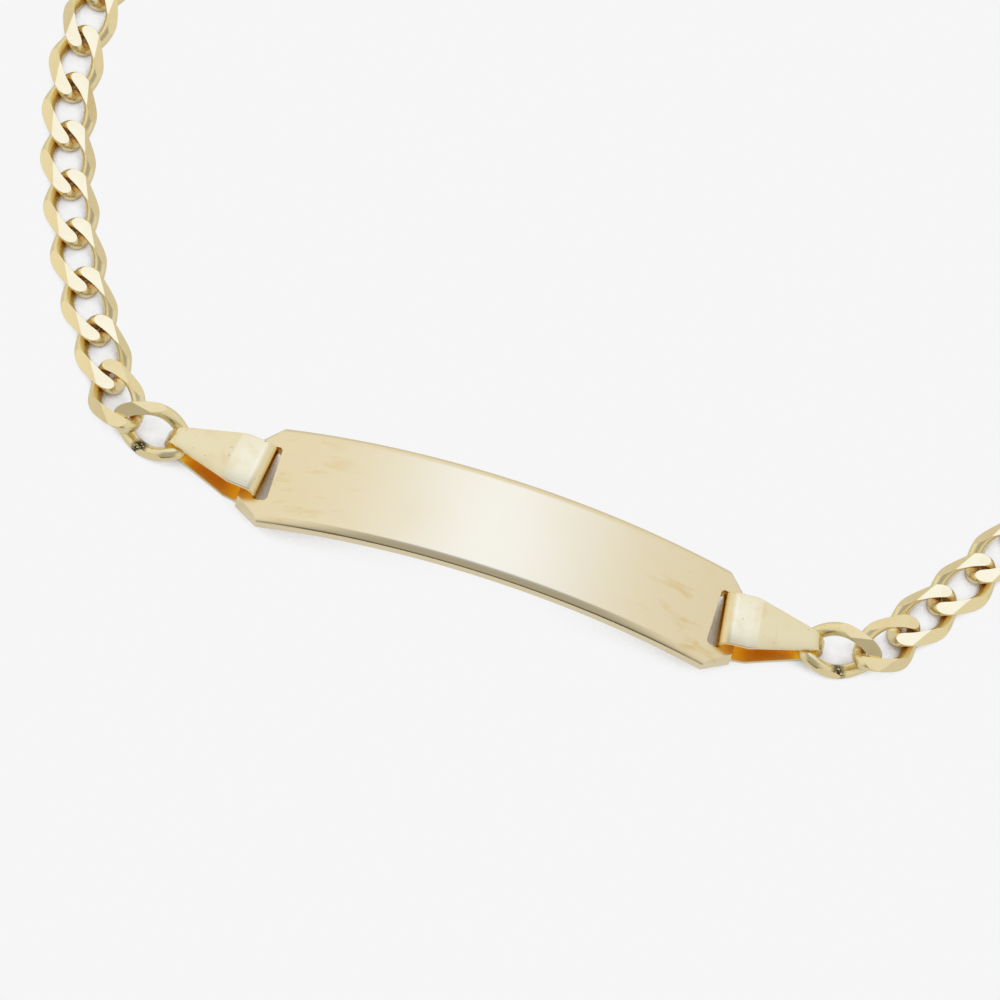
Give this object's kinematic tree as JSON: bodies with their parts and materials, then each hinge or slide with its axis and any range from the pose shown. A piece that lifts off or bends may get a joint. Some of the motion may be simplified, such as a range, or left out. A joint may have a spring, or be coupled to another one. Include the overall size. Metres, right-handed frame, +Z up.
{
  "type": "id bracelet",
  "caption": "Bracelet with a plain curved name plate, a tapered bail at each plate end and a flat cut curb chain closed by a clasp at the back.",
  "frame": {"origin": "On the surface that the bracelet lies on, under the middle of its bounding box", "axes": "+X along the name plate, +Y from the plate to the clasp, +Z up, away from the surface"},
  "size_m": [0.0688, 0.057, 0.0054],
  "materials": {
    "plate_gold": "brushed, lightly scratched",
    "bail_gold": "polished",
    "chain_gold": "polished flats on satin wire",
    "clasp_gold": "polished"
  },
  "bodies": {
    "root": {"plate": "plate_gold", "bail_left": "bail_gold", "bail_right": "bail_gold", "link_left_01": "chain_gold", "link_left_02": "chain_gold", "link_left_03": "chain_gold", "link_left_04": "chain_gold", "link_left_05": "chain_gold", "link_left_06": "chain_gold", "link_left_07": "chain_gold", "link_left_08": "chain_gold", "link_left_09": "chain_gold", "link_left_10": "chain_gold", "link_left_11": "chain_gold", "link_left_12": "chain_gold", "link_left_13": "chain_gold", "link_left_14": "chain_gold", "link_left_15": "chain_gold", "link_left_16": "chain_gold", "link_left_17": "chain_gold", "link_left_18": "chain_gold", "link_left_19": "chain_gold", "link_left_20": "chain_gold", "link_left_21": "chain_gold", "link_left_22": "chain_gold", "link_right_01": "chain_gold", "link_right_02": "chain_gold", "link_right_03": "chain_gold", "link_right_04": "chain_gold", "link_right_05": "chain_gold", "link_right_06": "chain_gold", "link_right_07": "chain_gold", "link_right_08": "chain_gold", "link_right_09": "chain_gold", "link_right_10": "chain_gold", "link_right_11": "chain_gold", "link_right_12": "chain_gold", "link_right_13": "chain_gold", "link_right_14": "chain_gold", "link_right_15": "chain_gold", "link_right_16": "chain_gold", "link_right_17": "chain_gold", "link_right_18": "chain_gold", "link_right_19": "chain_gold", "link_right_20": "chain_gold", "link_right_21": "chain_gold", "link_right_22": "chain_gold", "jump_ring_left": "clasp_gold", "jump_ring_right": "clasp_gold", "clasp": "clasp_gold"}
  },
  "joints": []
}
